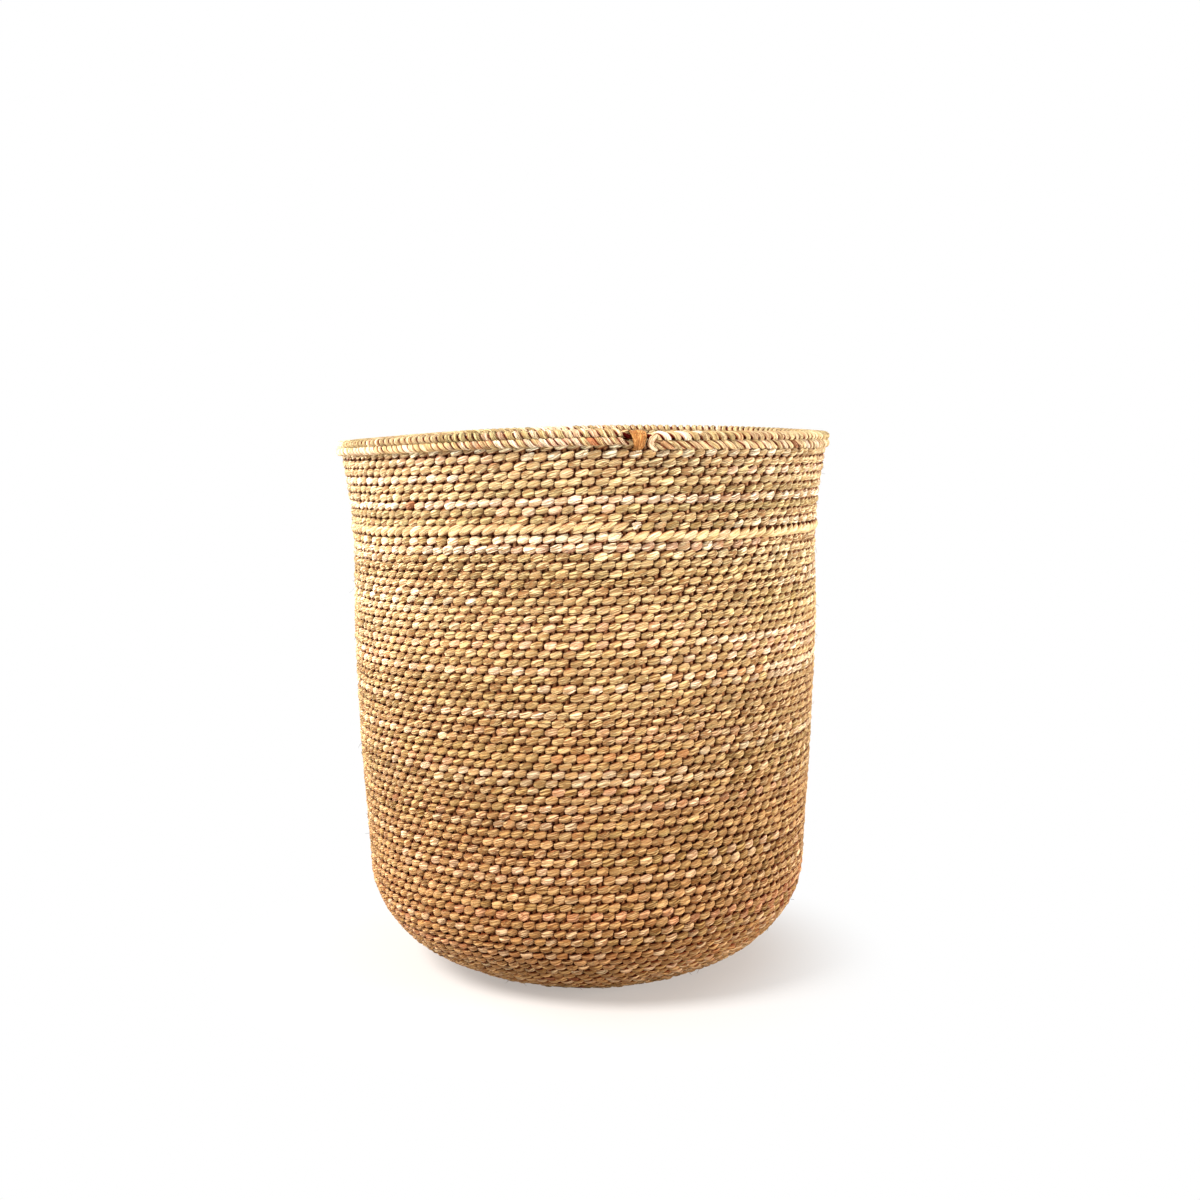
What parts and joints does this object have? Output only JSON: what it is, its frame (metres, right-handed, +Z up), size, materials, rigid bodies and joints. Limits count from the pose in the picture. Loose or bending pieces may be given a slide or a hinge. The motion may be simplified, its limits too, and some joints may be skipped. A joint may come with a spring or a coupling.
{
  "type": "iringa basket",
  "caption": "Tall round open basket of twined reed weft over upright stakes, with a raised row near the top, a corded rim and a bound rim joint.",
  "frame": {"origin": "centre of the base, on the floor it stands on", "axes": "+Z up along the basket's axis to the open rim, -Y towards the front, where the rim's bound joint is a little right of the middle"},
  "size_m": [0.3596, 0.3596, 0.3954],
  "materials": {
    "straw": "dry twined reed",
    "shaded_straw": "dry twined reed, inside",
    "reed": "dry split reed",
    "twisted_straw": "three strands twined proud of the wall",
    "rim_straw": "corded reed",
    "brown_strap": "brown leaf strip"
  },
  "bodies": {
    "root": {"outer_weft_base": "straw", "outer_weft_corner_1": "straw", "outer_weft_corner_2": "straw", "outer_weft_corner_3": "straw", "outer_weft_wall_1": "straw", "outer_weft_wall_2": "straw", "outer_weft_wall_3": "straw", "outer_weft_upper": "straw", "inner_weft_base": "shaded_straw", "inner_weft_corner_1": "shaded_straw", "inner_weft_corner_2": "shaded_straw", "inner_weft_corner_3": "shaded_straw", "inner_weft_wall_1": "shaded_straw", "inner_weft_wall_2": "shaded_straw", "inner_weft_wall_3": "shaded_straw", "inner_weft_upper": "shaded_straw", "stake_bundle_lower": "reed", "stake_bundle_upper": "reed", "added_stake_01": "reed", "added_stake_02": "reed", "added_stake_03": "reed", "added_stake_04": "reed", "added_stake_05": "reed", "added_stake_06": "reed", "added_stake_07": "reed", "added_stake_08": "reed", "added_stake_09": "reed", "added_stake_10": "reed", "added_stake_11": "reed", "added_stake_12": "reed", "added_stake_13": "reed", "added_stake_14": "reed", "added_stake_15": "reed", "added_stake_16": "reed", "added_stake_17": "reed", "added_stake_18": "reed", "added_stake_19": "reed", "added_stake_20": "reed", "raised_row": "twisted_straw", "rim_crest": "rim_straw", "rim_cord": "rim_straw", "rim_binding": "brown_strap"}
  },
  "joints": []
}
